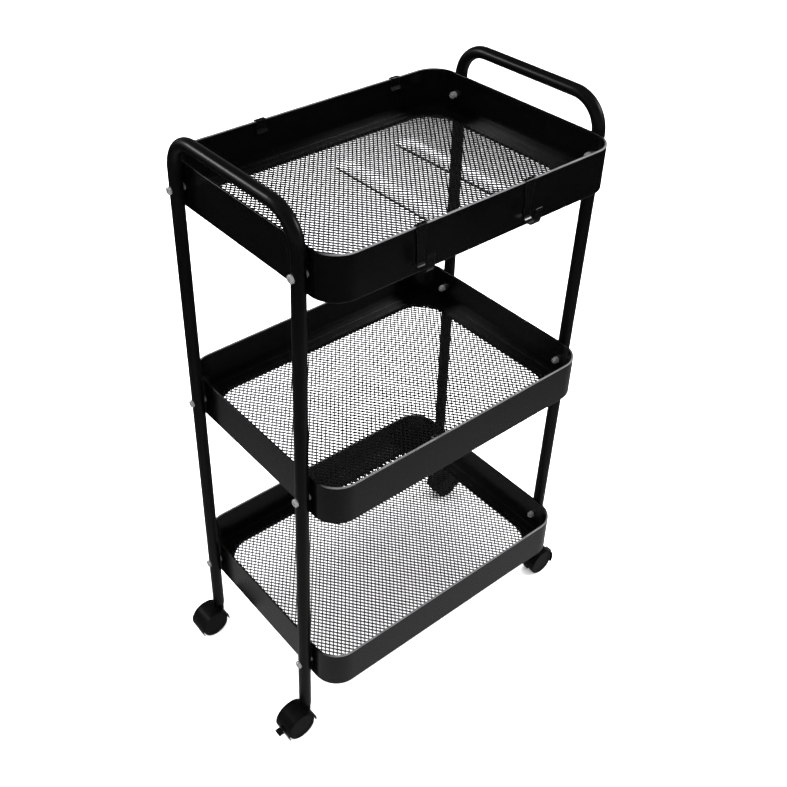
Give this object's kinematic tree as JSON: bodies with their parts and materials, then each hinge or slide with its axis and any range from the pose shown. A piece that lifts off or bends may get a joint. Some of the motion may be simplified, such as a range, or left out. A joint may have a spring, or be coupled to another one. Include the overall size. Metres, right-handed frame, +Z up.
{
  "type": "rolling utility cart",
  "caption": "Rolling utility cart: stacked mesh-floored trays bolted between bent-tube end frames that form the push handles, on twin-wheel swivel casters, with rim hooks.",
  "frame": {"origin": "middle of the cart's outline, on the floor under the wheels", "axes": "+X along the trays' long side towards the right handle, +Y across the cart towards the back, +Z up"},
  "size_m": [0.518, 0.3334, 0.787],
  "materials": {
    "frame_tube": "gloss black powder coat",
    "tray_sheet": "satin-gloss black powder coat",
    "mesh_floor": "satin black powder coat",
    "hook_strip": "satin-gloss black powder coat",
    "bolts": "bright zinc plate",
    "nuts": "bright zinc plate",
    "washers": "bright zinc plate",
    "steel_pins": "plain turned steel",
    "caster_plastic": "fine-grained moulded black nylon",
    "wheel_plastic": "smooth moulded black plastic",
    "lever_plastic": "fine-grained moulded black nylon"
  },
  "bodies": {
    "cart": {"frame_left": "frame_tube", "frame_right": "frame_tube", "tray_top": "tray_sheet", "mesh_top": "mesh_floor", "tray_middle": "tray_sheet", "mesh_middle": "mesh_floor", "tray_bottom": "tray_sheet", "mesh_bottom": "mesh_floor", "tray_bolts": "bolts", "tray_spacers": "washers", "nut_washers": "washers", "tray_nuts": "nuts", "caster_sockets": "caster_plastic", "caster_stems": "steel_pins", "grip_rings": "steel_pins"},
    "caster_front_left": {"housing_front_left": "caster_plastic", "axle_front_left": "steel_pins", "brake_pin_front_left": "steel_pins"},
    "wheel_front_left_near": {"wheel_front_left_near": "wheel_plastic"},
    "wheel_front_left_far": {"wheel_front_left_far": "wheel_plastic"},
    "brake_lever_front_left": {"brake_lever_front_left": "lever_plastic"},
    "caster_front_right": {"housing_front_right": "caster_plastic", "axle_front_right": "steel_pins", "brake_pin_front_right": "steel_pins"},
    "wheel_front_right_near": {"wheel_front_right_near": "wheel_plastic"},
    "wheel_front_right_far": {"wheel_front_right_far": "wheel_plastic"},
    "brake_lever_front_right": {"brake_lever_front_right": "lever_plastic"},
    "caster_back_left": {"housing_back_left": "caster_plastic", "axle_back_left": "steel_pins"},
    "wheel_back_left_near": {"wheel_back_left_near": "wheel_plastic"},
    "wheel_back_left_far": {"wheel_back_left_far": "wheel_plastic"},
    "caster_back_right": {"housing_back_right": "caster_plastic", "axle_back_right": "steel_pins"},
    "wheel_back_right_near": {"wheel_back_right_near": "wheel_plastic"},
    "wheel_back_right_far": {"wheel_back_right_far": "wheel_plastic"},
    "hook_front_left": {"hook_front_left": "hook_strip"},
    "hook_front_right": {"hook_front_right": "hook_strip"},
    "hook_back_left": {"hook_back_left": "hook_strip"},
    "hook_back_right": {"hook_back_right": "hook_strip"}
  },
  "joints": [
    {"name": "swivel_front_left", "type": "hinge", "parent": "cart", "child": "caster_front_left", "pos_m": [-0.213, -0.10449, 0.044], "axis": [0, 0, 1], "continuous": true},
    {"name": "roll_front_left_near", "type": "hinge", "parent": "caster_front_left", "child": "wheel_front_left_near", "pos_m": [-0.228, -0.10449, 0.02], "axis": [0, 1, 0], "continuous": true},
    {"name": "roll_front_left_far", "type": "hinge", "parent": "caster_front_left", "child": "wheel_front_left_far", "pos_m": [-0.228, -0.10449, 0.02], "axis": [0, 1, 0], "continuous": true},
    {"name": "brake_front_left", "type": "hinge", "parent": "caster_front_left", "child": "brake_lever_front_left", "pos_m": [-0.2385, -0.10449, 0.02], "axis": [0, -1, 0], "range_deg": [0, 12]},
    {"name": "swivel_front_right", "type": "hinge", "parent": "cart", "child": "caster_front_right", "pos_m": [0.213, -0.10449, 0.044], "axis": [0, 0, 1], "continuous": true},
    {"name": "roll_front_right_near", "type": "hinge", "parent": "caster_front_right", "child": "wheel_front_right_near", "pos_m": [0.228, -0.10449, 0.02], "axis": [0, 1, 0], "continuous": true},
    {"name": "roll_front_right_far", "type": "hinge", "parent": "caster_front_right", "child": "wheel_front_right_far", "pos_m": [0.228, -0.10449, 0.02], "axis": [0, 1, 0], "continuous": true},
    {"name": "brake_front_right", "type": "hinge", "parent": "caster_front_right", "child": "brake_lever_front_right", "pos_m": [0.2385, -0.10449, 0.02], "axis": [0, 1, 0], "range_deg": [0, 12]},
    {"name": "swivel_back_left", "type": "hinge", "parent": "cart", "child": "caster_back_left", "pos_m": [-0.213, 0.10449, 0.044], "axis": [0, 0, 1], "continuous": true},
    {"name": "roll_back_left_near", "type": "hinge", "parent": "caster_back_left", "child": "wheel_back_left_near", "pos_m": [-0.228, 0.10449, 0.02], "axis": [0, 1, 0], "continuous": true},
    {"name": "roll_back_left_far", "type": "hinge", "parent": "caster_back_left", "child": "wheel_back_left_far", "pos_m": [-0.228, 0.10449, 0.02], "axis": [0, 1, 0], "continuous": true},
    {"name": "swivel_back_right", "type": "hinge", "parent": "cart", "child": "caster_back_right", "pos_m": [0.213, 0.10449, 0.044], "axis": [0, 0, 1], "continuous": true},
    {"name": "roll_back_right_near", "type": "hinge", "parent": "caster_back_right", "child": "wheel_back_right_near", "pos_m": [0.228, 0.10449, 0.02], "axis": [0, 1, 0], "continuous": true},
    {"name": "roll_back_right_far", "type": "hinge", "parent": "caster_back_right", "child": "wheel_back_right_far", "pos_m": [0.228, 0.10449, 0.02], "axis": [0, 1, 0], "continuous": true},
    {"name": "lift_hook_front_left", "type": "slide", "parent": "cart", "child": "hook_front_left", "axis": [0, 0, 1], "range_m": [0, 0.06]},
    {"name": "lift_hook_front_right", "type": "slide", "parent": "cart", "child": "hook_front_right", "axis": [0, 0, 1], "range_m": [0, 0.06]},
    {"name": "lift_hook_back_left", "type": "slide", "parent": "cart", "child": "hook_back_left", "axis": [0, 0, 1], "range_m": [0, 0.06]},
    {"name": "lift_hook_back_right", "type": "slide", "parent": "cart", "child": "hook_back_right", "axis": [0, 0, 1], "range_m": [0, 0.06]}
  ]
}
